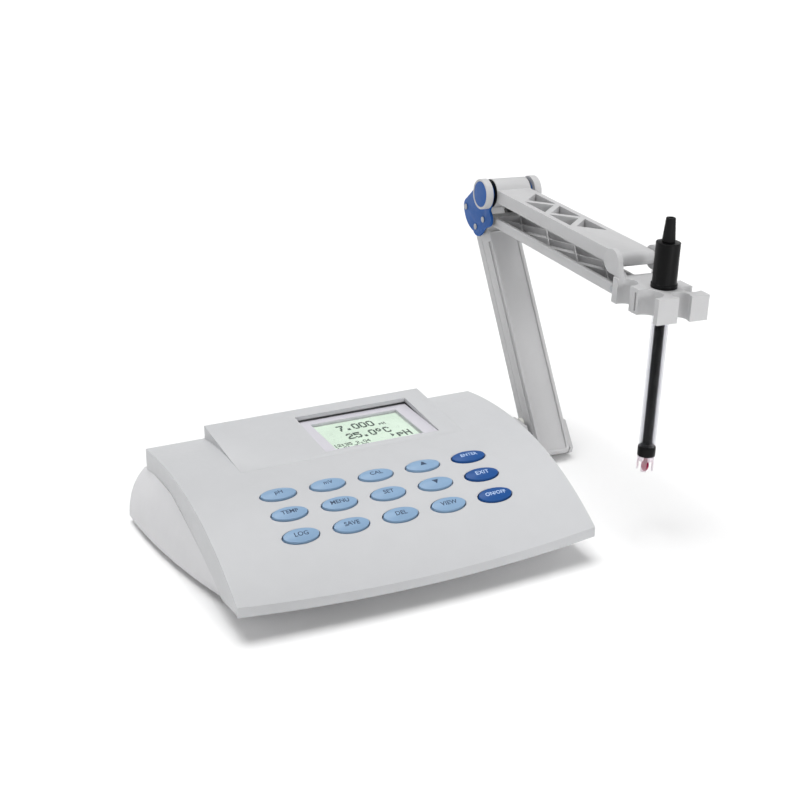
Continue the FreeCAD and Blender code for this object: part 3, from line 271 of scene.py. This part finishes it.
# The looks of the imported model's material slots.
OPAQUE = {
    "cover_plastic": {"colour": srgb(192, 193, 195), "rough": 0.44, "grain": 0.10,
                      "grain_scale": 3000, "mottle": 0.012, "gloss": 0.35},
    "housing_plastic": {"colour": srgb(206, 206, 208), "rough": 0.46, "grain": 0.10,
                        "grain_scale": 3000, "mottle": 0.015, "gloss": 0.35},
    "key_light_blue": {"colour": srgb(132, 162, 192), "rough": 0.45, "grain": 0.04,
                       "grain_scale": 3000, "mottle": 0.02, "gloss": 0.35},
    "key_dark_blue": {"colour": srgb(24, 76, 140), "rough": 0.45, "grain": 0.04,
                      "grain_scale": 3000, "mottle": 0.03, "gloss": 0.3},
    "bezel_plastic": {"colour": srgb(203, 201, 208), "rough": 0.42, "grain": 0.08,
                      "grain_scale": 3000, "mottle": 0.015, "gloss": 0.35},
    # The display's glow is painted light: it brightens the display where it lies in shade.
    "lcd_glass": {"colour": srgb(208, 222, 209), "rough": 0.30, "grain": 0.0,
                  "grain_scale": 3000, "mottle": 0.03, "gloss": 0.2, "glow": 0.2},
    "circuit_board": {"colour": srgb(20, 92, 52), "rough": 0.4, "grain": 0.1,
                      "grain_scale": 900, "mottle": 0.08},
    "silicone": {"colour": srgb(196, 196, 196), "rough": 0.7, "grain": 0.1,
                 "grain_scale": 1500, "mottle": 0.02},
    "black_rubber": {"colour": srgb(9, 9, 10), "rough": 0.6, "grain": 0.2,
                     "grain_scale": 2200, "mottle": 0.10, "gloss": 0.2},
    "zinc_steel": {"colour": srgb(158, 160, 164), "rough": 0.32, "grain": 0.12,
                   "grain_scale": 1400, "mottle": 0.04, "metal": 1},
    "panel_plastic": {"colour": srgb(62, 62, 65), "rough": 0.5, "grain": 0.12,
                      "grain_scale": 2400, "mottle": 0.04},
    "nickel": {"colour": srgb(205, 203, 198), "rough": 0.2, "grain": 0.03,
               "grain_scale": 1400, "mottle": 0.03, "metal": 1},
    "black_plastic": {"colour": srgb(3, 3, 4), "rough": 0.4, "grain": 0.10,
                      "grain_scale": 2600, "mottle": 0.08, "gloss": 0.16},
    "red_plastic": {"colour": srgb(176, 40, 34), "rough": 0.4, "grain": 0.08,
                    "grain_scale": 2600, "mottle": 0.05},
    "brass": {"colour": srgb(206, 176, 108), "rough": 0.28, "grain": 0.05,
              "grain_scale": 1400, "mottle": 0.05, "metal": 1},
    "arm_plastic": {"colour": srgb(190, 190, 191), "rough": 0.48, "grain": 0.12,
                    "grain_scale": 2600, "mottle": 0.015, "gloss": 0.3},
    "arm_blue": {"colour": ARM_BLUE, "rough": 0.42, "grain": 0.06,
                 "grain_scale": 2600, "mottle": 0.03, "gloss": 0.25},
    "white_nylon": {"colour": srgb(222, 222, 216), "rough": 0.5, "grain": 0.05,
                    "grain_scale": 2600, "mottle": 0.02},
    "electrode_core": {"colour": srgb(4, 4, 5), "rough": 0.6, "grain": 0.1,
                       "grain_scale": 1500, "mottle": 0.1, "gloss": 0.08},
}
SEE_THROUGH = {
    "clear_window": {"colour": (0.985, 0.995, 0.985), "edge_share": 0.12},
    "electrode_glass": {"colour": (0.86, 0.86, 0.875), "edge_share": 0.30},
    "clear_guard": {"colour": (0.90, 0.86, 0.89), "edge_share": 0.5, "body": 0.12},
    "pink_bulb": {"colour": (0.55, 0.06, 0.20), "edge_share": 0.4, "body": 0.06},
}
LOOKS = {name: moulded(name, **look) for name, look in OPAQUE.items()}
LOOKS.update((name, clear(name, **look)) for name, look in SEE_THROUGH.items())
ink = moulded("legend_ink", srgb(40, 64, 92), 0.5, 0.05, 3000, 0.05)
pale_ink = moulded("pale_legend_ink", srgb(176, 200, 235), 0.5, 0.05, 3000, 0.05)
segment_ink = moulded("segment_ink", srgb(26, 52, 44), 0.4, 0.0, 3000, 0.08)
for name, thing in nodes.items():
    thing.data.materials.clear()
    thing.data.materials.append(LOOKS[slot_of[name]])


# ---------------------------------------------------------------- pieces

def piece(name, mesh, node, look=None, replace=True, slot=None):
    """A new piece that rides with a CAD node's body, and stands for that node by default."""
    made = bpy.data.objects.new(name, mesh)
    scene.collection.objects.link(made)
    mesh.materials.clear()
    mesh.materials.append(look or LOOKS[slot or slot_of[node]])
    mesh.shade_smooth()
    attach(made, body_of[node])
    if replace:
        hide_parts(node)
    return made


WELD_REACH = 0.004 * MM
# In degrees: faces that meet flatter than the first are joined, which keeps the facets of curved
# faces, and edges sharper than the second are rounded.
FLAT_ANGLE, SHARP_ANGLE = 0.05, 30


def rounded(made, width, segments):
    """Rounds a piece's sharp edges."""
    edge = made.modifiers.new("edge", "BEVEL")
    edge.width = width
    edge.segments = segments
    edge.limit_method = "ANGLE"
    edge.angle_limit = math.radians(SHARP_ANGLE)
    edge.use_clamp_overlap = True
    edge.harden_normals = True
    return made


def shell(node, width, segments=3, apply=False, look=None):
    """A piece made from a CAD node's surface: one skin, flat faces joined, and edges rounded."""
    work = bmesh.new()
    work.from_mesh(nodes[node].data)
    bmesh.ops.remove_doubles(work, verts=work.verts, dist=WELD_REACH)
    bmesh.ops.dissolve_limit(work, angle_limit=math.radians(FLAT_ANGLE), verts=work.verts,
                             edges=work.edges, use_dissolve_boundaries=False, delimit=set())
    mesh = bpy.data.meshes.new(node + "_shell")
    work.to_mesh(mesh)
    work.free()
    made = rounded(piece(node + "_shell", mesh, node, look), width, segments)
    if apply:
        bpy.context.view_layer.update()
        seen = made.evaluated_get(bpy.context.evaluated_depsgraph_get())
        baked = bpy.data.meshes.new_from_object(seen)
        made.modifiers.clear()
        made.data = baked
    return made


def frame_on(node, axis):
    """A frame at the middle of a node's low end, z along an axis, and the node's size in it."""
    along = axis.normalized()
    across = Vector((0, 1, 0)).cross(along).normalized()
    turn = Matrix((across, along.cross(across), along)).transposed()
    spots = [turn.transposed() @ vertex.co for vertex in nodes[node].data.vertices]
    low = Vector([min(spot[i] for spot in spots) for i in range(3)])
    high = Vector([max(spot[i] for spot in spots) for i in range(3)])
    middle = Vector(((low.x + high.x) / 2, (low.y + high.y) / 2, low.z))
    return Matrix.Translation(turn @ middle) @ turn.to_4x4(), high - low


def turned(work, profile, place, steps):
    """Adds a closed turned shape. Its profile is (radius, height) pairs from end to end."""
    turns = [2 * math.pi * i / steps for i in range(steps)]
    rings = [[work.verts.new(place @ Vector((radius * math.cos(turn), radius * math.sin(turn),
                                             height))) for turn in turns]
             for radius, height in profile]
    for low, high in zip(rings, rings[1:]):
        for i in range(steps):
            work.faces.new((low[i], low[(i + 1) % steps], high[(i + 1) % steps], high[i]))
    work.faces.new(reversed(rings[0]))
    work.faces.new(rings[-1])


def to_mesh(work, name):
    """A mesh from a work mesh, its faces turned outwards."""
    mesh = bpy.data.meshes.new(name)
    bmesh.ops.recalc_face_normals(work, faces=work.faces)
    work.to_mesh(mesh)
    work.free()
    return mesh


# ---------------------------------------------------------------- meter

# The cover's roof is two arches, each given by its ends (y, z) and radius in millimetres, with y
# measured from the CAD's own origin. ORIGIN_Y is where the frame's origin lies from there.
ORIGIN_Y = 142.1 * MM
ROOF = (((-8, 19.5), (95.5, 59.8), 222), ((95.5, 59.8), (191, 56.4), 327))
# How far a face of the roof may lie from its arch, and the least cosine of how far it may lean.
ROOF_REACH, ROOF_COSINE = 0.15 * MM, 0.997


def arch(low, high, radius):
    """Centre and radius, in metres, of an arch that rises between two (y, z) points."""
    start, end = Vector(low) * MM, Vector(high) * MM
    half = (end - start) / 2
    rise = math.sqrt((radius * MM) ** 2 - half.length_squared)
    across = Vector((half.y, -half.x)).normalized()
    return start + half + across * rise - Vector((ORIGIN_Y, 0)), radius * MM


def smooth_roof(made):
    """Gives the cover's roof the normals of its two arches, so that light runs over it evenly."""
    arches = [arch(*part) for part in ROOF]
    mesh = made.data
    normals = [Vector((0, 0, 0))] * len(mesh.loops)
    for face in mesh.polygons:
        for centre, radius in arches:
            out = Vector((face.center.y, face.center.z)) - centre
            true = Vector((0, *out.normalized()))
            if abs(out.length - radius) > ROOF_REACH or true.dot(face.normal) < ROOF_COSINE:
                continue
            for loop in face.loop_indices:
                spot = mesh.vertices[mesh.loops[loop].vertex_index].co
                normals[loop] = Vector((0, *(Vector((spot.y, spot.z)) - centre).normalized()))
    mesh.normals_split_custom_set(normals)


smooth_roof(shell("top_cover", 0.5 * MM, apply=True))
for name, width in (("lower_housing", 0.6), ("display_bezel", 0.25), ("rear_panel", 0.3),
                    ("housing_screws", 0.25), ("arm_bracket", 0.35)):
    shell(name, width * MM)
shell("display_window", 0.25 * MM, 2)
shell("feet", 0.9 * MM)
for name in ("electrode_socket", "reference_socket", "temperature_socket", "power_socket",
             "serial_socket", "ground_terminal", "bracket_screws", "swivel_stud"):
    shell(name, 0.2 * MM, 2)

# ---------------------------------------------------------------- keys

# Heights over the cover of a key's rim and of its middle, and the radius that rounds the rim.
KEY_EDGE, KEY_TOP, KEY_FILLET = 1.35 * MM, 2.6 * MM, 0.55 * MM
# Where a key's flange starts under the cover, how thick it is and how far it reaches out.
KEY_SKIRT, KEY_FLANGE, KEY_LIP = 3.15 * MM, 1.05 * MM, 1.9 * MM
KEY_STEPS, RIM_STEPS, CROWN_STEPS = 96, 6, 9


def crown(x, y, half_x, half_y):
    """Height of a key's domed top over the cover."""
    return KEY_TOP - (KEY_TOP - KEY_EDGE) * ((x / half_x) ** 2 + (y / half_y) ** 2)


def key_frame(node):
    """Frame of a key on the cover's surface, z pointing out, and half its length and width."""
    place, size = frame_on(node, -axis_of[node + "_press"])
    place = place @ Matrix.Translation((0, 0, size.z - KEY_TOP))
    return place, size.x / 2 - KEY_LIP, size.y / 2 - KEY_LIP


def oval_ring(work, place, half_x, half_y, height):
    """An oval of vertices at a height over the cover."""
    turns = [2 * math.pi * i / KEY_STEPS for i in range(KEY_STEPS)]
    return [work.verts.new(place @ Vector((half_x * math.cos(turn), half_y * math.sin(turn),
                                           height))) for turn in turns]


def key_cap(node):
    """A key: its flange under the cover, its wall, its rounded rim and its domed top."""
    place, half_x, half_y = key_frame(node)
    rows = [(-KEY_LIP, -KEY_SKIRT - KEY_FLANGE), (-KEY_LIP, -KEY_SKIRT), (0, -KEY_SKIRT)]
    for i in range(RIM_STEPS + 1):
        turn = math.pi / 2 * i / RIM_STEPS
        rows.append((KEY_FILLET * (1 - math.cos(turn)),
                     KEY_EDGE - KEY_FILLET * 0.8 * (1 - math.sin(turn))))
    work = bmesh.new()
    rings = [oval_ring(work, place, half_x - inset, half_y - inset, height)
             for inset, height in rows]
    for i in range(1, CROWN_STEPS):
        share = 1 - i / CROWN_STEPS
        height = KEY_EDGE + (KEY_TOP - KEY_EDGE) * (1 - share ** 2)
        rings.append(oval_ring(work, place, (half_x - KEY_FILLET) * share,
                               (half_y - KEY_FILLET) * share, height))
    for low, high in zip(rings, rings[1:]):
        for i in range(KEY_STEPS):
            work.faces.new((low[i], low[i - 1], high[i - 1], high[i]))
    work.faces.new(reversed(rings[0]))
    work.faces.new(rings[-1])
    return piece(node + "_cap", to_mesh(work, node + "_cap"), node)


# Half the thickness of printed letters, how much bolder than the font they are, and their weld.
PRINT_HALF, PRINT_BOLD, PRINT_WELD = 0.05 * MM, 0.07 * MM, 0.002 * MM


def letters(text, size):
    """Raised letters, centred on the origin in the xy plane."""
    curve = bpy.data.curves.new("letters", "FONT")
    curve.body = text
    curve.align_x = "CENTER"
    curve.align_y = "CENTER"
    curve.size = size
    curve.extrude = PRINT_HALF
    curve.offset = PRINT_BOLD
    curve.resolution_u = 3
    holder = bpy.data.objects.new("letters", curve)
    mesh = bpy.data.meshes.new_from_object(holder)
    bpy.data.objects.remove(holder)
    work = bmesh.new()
    work.from_mesh(mesh)
    bmesh.ops.remove_doubles(work, verts=work.verts, dist=PRINT_WELD)
    return work


LEGENDS = {"back": ("pH", "mV", "CAL", "▲", "ENTER"),
           "middle": ("TEMP", "MENU", "SET", "▼", "EXIT"),
           "front": ("LOG", "SAVE", "DEL", "VIEW", "ON/OFF")}
# The size of words, and of those with more letters than LONG_WORD.
LEGEND_SIZE, LONG_LEGEND_SIZE, LONG_WORD = 5.0 * MM, 4.3 * MM, 4
DARK_COLUMN = 5
# Print is cut until its edges are about this long, and lies between these heights over the key.
LONGEST_EDGE = 1.0 * MM
LEGEND_TOP, LEGEND_FOOT = 0.03 * MM, -0.06 * MM


def legend(text, node, look):
    """Small print that follows a key's domed top."""
    work = letters(text, LONG_LEGEND_SIZE if len(text) > LONG_WORD else LEGEND_SIZE)
    for _ in range(2):
        longer = [edge for edge in work.edges if edge.calc_length() > LONGEST_EDGE]
        bmesh.ops.subdivide_edges(work, edges=longer, cuts=1)
        bmesh.ops.triangulate(work, faces=work.faces)
    place, half_x, half_y = key_frame(node)
    for vertex in work.verts:
        x, y, raised = vertex.co
        height = crown(x, y, half_x, half_y) + (LEGEND_TOP if raised > 0 else LEGEND_FOOT)
        vertex.co = place @ Vector((x, y, height))
    name = node + "_legend"
    return piece(name, to_mesh(work, name), node, look, replace=False)


for row, words in LEGENDS.items():
    for column, word in enumerate(words, start=1):
        node = "key_%s_%d" % (row, column)
        key_cap(node)
        legend(word, node, pale_ink if column == DARK_COLUMN else ink)

# ---------------------------------------------------------------- rear panel numbers

SOCKETS = ("ground_terminal", "power_socket", "serial_socket", "temperature_socket",
           "reference_socket", "electrode_socket")
NUMBER_SIZE, NUMBER_RISE = 4 * MM, 3.2 * MM

panel_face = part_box("rear_panel")[1].y
facing_back = Matrix.Rotation(math.pi, 4, "Z") @ Matrix.Rotation(math.pi / 2, 4, "X")
for number, name in enumerate(SOCKETS, start=1):
    low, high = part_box(name)
    work = letters(str(number), NUMBER_SIZE)
    spot = ((low.x + high.x) / 2, panel_face, high.z + NUMBER_RISE)
    work.transform(Matrix.Translation(spot) @ facing_back)
    piece("rear_number_%d" % number, to_mesh(work, "rear_number"), "rear_panel", pale_ink,
          replace=False)

# ---------------------------------------------------------------- display

# Each glyph is five dots wide and seven tall, and "*" is the degree sign.
GLYPHS = {
    "0": ("01110", "10001", "10001", "10001", "10001", "10001", "01110"),
    "1": ("00100", "01100", "00100", "00100", "00100", "00100", "01110"),
    "2": ("01110", "10001", "00001", "00110", "01000", "10000", "11111"),
    "3": ("11110", "00001", "00001", "01110", "00001", "00001", "11110"),
    "4": ("00010", "00110", "01010", "10010", "11111", "00010", "00010"),
    "5": ("11111", "10000", "11110", "00001", "00001", "10001", "01110"),
    "7": ("11111", "00001", "00010", "00100", "00100", "01000", "01000"),
    ".": ("00000", "00000", "00000", "00000", "00000", "01100", "01100"),
    ":": ("00000", "01100", "01100", "00000", "01100", "01100", "00000"),
    "*": ("01100", "10010", "10010", "01100", "00000", "00000", "00000"),
    "C": ("01110", "10001", "10000", "10000", "10000", "10001", "01110"),
    "H": ("10001", "10001", "10001", "11111", "10001", "10001", "10001"),
    "p": ("00000", "00000", "11110", "10001", "11110", "10000", "10000"),
    ">": ("10000", "11000", "11100", "11110", "11100", "11000", "10000"),
}


def add_block(work, low, high):
    """Adds a box between two corners."""
    corners = [work.verts.new((x, y, z)) for z in (low.z, high.z) for x, y in
               ((low.x, low.y), (high.x, low.y), (high.x, high.y), (low.x, high.y))]
    for face in ((3, 2, 1, 0), (4, 5, 6, 7), (0, 1, 5, 4), (1, 2, 6, 5), (2, 3, 7, 6),
                 (3, 0, 4, 7)):
        work.faces.new([corners[i] for i in face])


# Dots from one glyph to the next, cells from one dot to the next, and the cells that a dot covers.
GLYPH_PITCH, DOT_PITCH, DOT_CELLS = 6, 3, 4
DOT_HEIGHT = 0.03 * MM


def write_dots(work, text, left, top, level, wide, tall):
    """Writes text on the display in dots, as one closed skin.

    A dot is four cells wide and its neighbour starts three cells on, so that the dots run together.
    """
    cells = set()
    for place, letter in enumerate(text):
        for line, row in enumerate(GLYPHS.get(letter, ())):
            for column, dot in enumerate(row):
                if dot == "1":
                    across = DOT_PITCH * (place * GLYPH_PITCH + column)
                    cells.update((across + i, DOT_PITCH * line + j)
                                 for i in range(DOT_CELLS) for j in range(DOT_CELLS))
    made = {}

    def corner(i, j, up):
        if (i, j, up) not in made:
            spot = (left + i * wide / DOT_PITCH, top - j * tall / DOT_PITCH,
                    level + up * DOT_HEIGHT)
            made[i, j, up] = work.verts.new(spot)
        return made[i, j, up]

    for i, j in sorted(cells):
        ring = ((i, j), (i, j + 1), (i + 1, j + 1), (i + 1, j))
        work.faces.new([corner(*spot, 1) for spot in ring])
        work.faces.new([corner(*spot, 0) for spot in reversed(ring)])
        beside = ((i - 1, j), (i, j + 1), (i + 1, j), (i, j - 1))
        for neighbour, low, high in zip(beside, ring, ring[1:] + ring[:1]):
            if neighbour not in cells:
                work.faces.new((corner(*high, 1), corner(*low, 1), corner(*low, 0),
                                corner(*high, 0)))


# Each line: its text, its place as shares of the glass from the left and from the rear edge, and
# the pitch of its dots across and down in millimetres.
DISPLAY_LINES = (("7.000", 0.24, 0.13, 0.98, 1.35), ("pH", 0.70, 0.26, 0.45, 0.60),
                 ("25.0", 0.255, 0.45, 0.98, 1.35), ("*C", 0.60, 0.45, 0.94, 1.35),
                 (">", 0.70, 0.71, 0.55, 0.75), ("pH", 0.765, 0.67, 0.98, 1.3),
                 ("12:35 2.04", 0.03, 0.755, 0.48, 0.62), ("4.01 7.00", 0.03, 0.87, 0.48, 0.62))
GLASS_GAP = 0.01 * MM

glass_low, glass_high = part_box("display_window")
panel_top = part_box("lcd_panel")[1].z
dots = bmesh.new()
for text, across, down, dot_wide, dot_tall in DISPLAY_LINES:
    left = glass_low.x + across * (glass_high.x - glass_low.x)
    top = glass_high.y - down * (glass_high.y - glass_low.y)
    write_dots(dots, text, left, top, panel_top + GLASS_GAP, dot_wide * MM, dot_tall * MM)
piece("lcd_segments", to_mesh(dots, "lcd_segments"), "lcd_panel", segment_ink, replace=False)


def gasket(thick=0.55 * MM):
    """A thin grey frame between the display and its window."""
    work = bmesh.new()
    left, right, front, rear = glass_low.x, glass_high.x, glass_low.y, glass_high.y
    bottom, top = panel_top + 2 * GLASS_GAP, glass_low.z - GLASS_GAP
    for low, high in (((left, front), (right, front + thick)),
                      ((left, rear - thick), (right, rear)),
                      ((left, front + thick), (left + thick, rear - thick)),
                      ((right - thick, front + thick), (right, rear - thick))):
        add_block(work, Vector((*low, bottom)), Vector((*high, top)))
    return to_mesh(work, "display_gasket")


piece("display_gasket", gasket(), "display_bezel", LOOKS["silicone"], replace=False)

# ---------------------------------------------------------------- arm

for name, width in (("swivel_fork", 0.5), ("main_beam", 0.6), ("rear_link", 0.6),
                    ("upper_beam", 0.55), ("tie_beam", 0.5), ("electrode_holder", 0.9),
                    ("axle_caps", 0.5), ("cap_discs", 0.2), ("axle_washers", 0.2),
                    ("elbow_pins", 0.3), ("fork_pins", 0.3), ("holder_pins", 0.3)):
    shell(name, width * MM)

across_arm = axis_of["upper_lift"]
# Each elbow plate's inner face, the one towards the other plate, gets painted shade.
for name, inward in (("elbow_plate_left", across_arm), ("elbow_plate_right", -across_arm)):
    shell(name, 0.45 * MM, look=lined(name + "_blue", ARM_BLUE, PLATE_PAINTED_SHADE, inward))

# ---------------------------------------------------------------- electrode

for name, width in (("electrode_cap", 0.6), ("electrode_boot", 0.5), ("electrode_glass", 0.2),
                    ("electrode_collar", 0.3), ("electrode_guard", 0.2)):
    shell(name, width * MM)


BULB_RADIUS, BULB_HALF, STEM_RADIUS = 2.7 * MM, 4.2 * MM, 1.3 * MM
# The bulb stays this far inside its node's ends, and runs into its stem over the taper.
BULB_GAP, STEM_TAPER = 0.1 * MM, 0.7 * MM
BULB_STEPS = 20


def glass_bulb():
    """The measuring bulb: a slim stem that swells into a rounded tip."""
    place, size = frame_on("electrode_bulb", axis_of["electrode_slide"])
    turns = [math.pi * i / BULB_STEPS for i in range(1, BULB_STEPS - 1)]
    swell = [(BULB_RADIUS * math.sin(turn), BULB_GAP + BULB_HALF * (1 - math.cos(turn)))
             for turn in turns]
    profile = [(wide, height) for wide, height in swell if wide > STEM_RADIUS or height < BULB_HALF]
    profile += [(STEM_RADIUS, profile[-1][1] + STEM_TAPER), (STEM_RADIUS, size.z - BULB_GAP)]
    work = bmesh.new()
    turned(work, profile, place, 48)
    return piece("glass_bulb", to_mesh(work, "glass_bulb"), "electrode_bulb")


glass_bulb()

# ---------------------------------------------------------------- stage

FLOOR_REACH = 9

floor_mesh = bpy.data.meshes.new("floor")
floor_mesh.from_pydata([(x * FLOOR_REACH, y * FLOOR_REACH, 0)
                        for x, y in ((-1, -1), (1, -1), (1, 1), (-1, 1))], [], [(0, 1, 2, 3)])
floor = bpy.data.objects.new("floor", floor_mesh)
paper = moulded("floor_paper", (0.95, 0.95, 0.95), 0.9, 0.0, 400, 0.003, gloss=0.1)
floor_mesh.materials.append(paper)
scene.collection.objects.link(floor)
floor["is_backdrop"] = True

low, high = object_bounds()
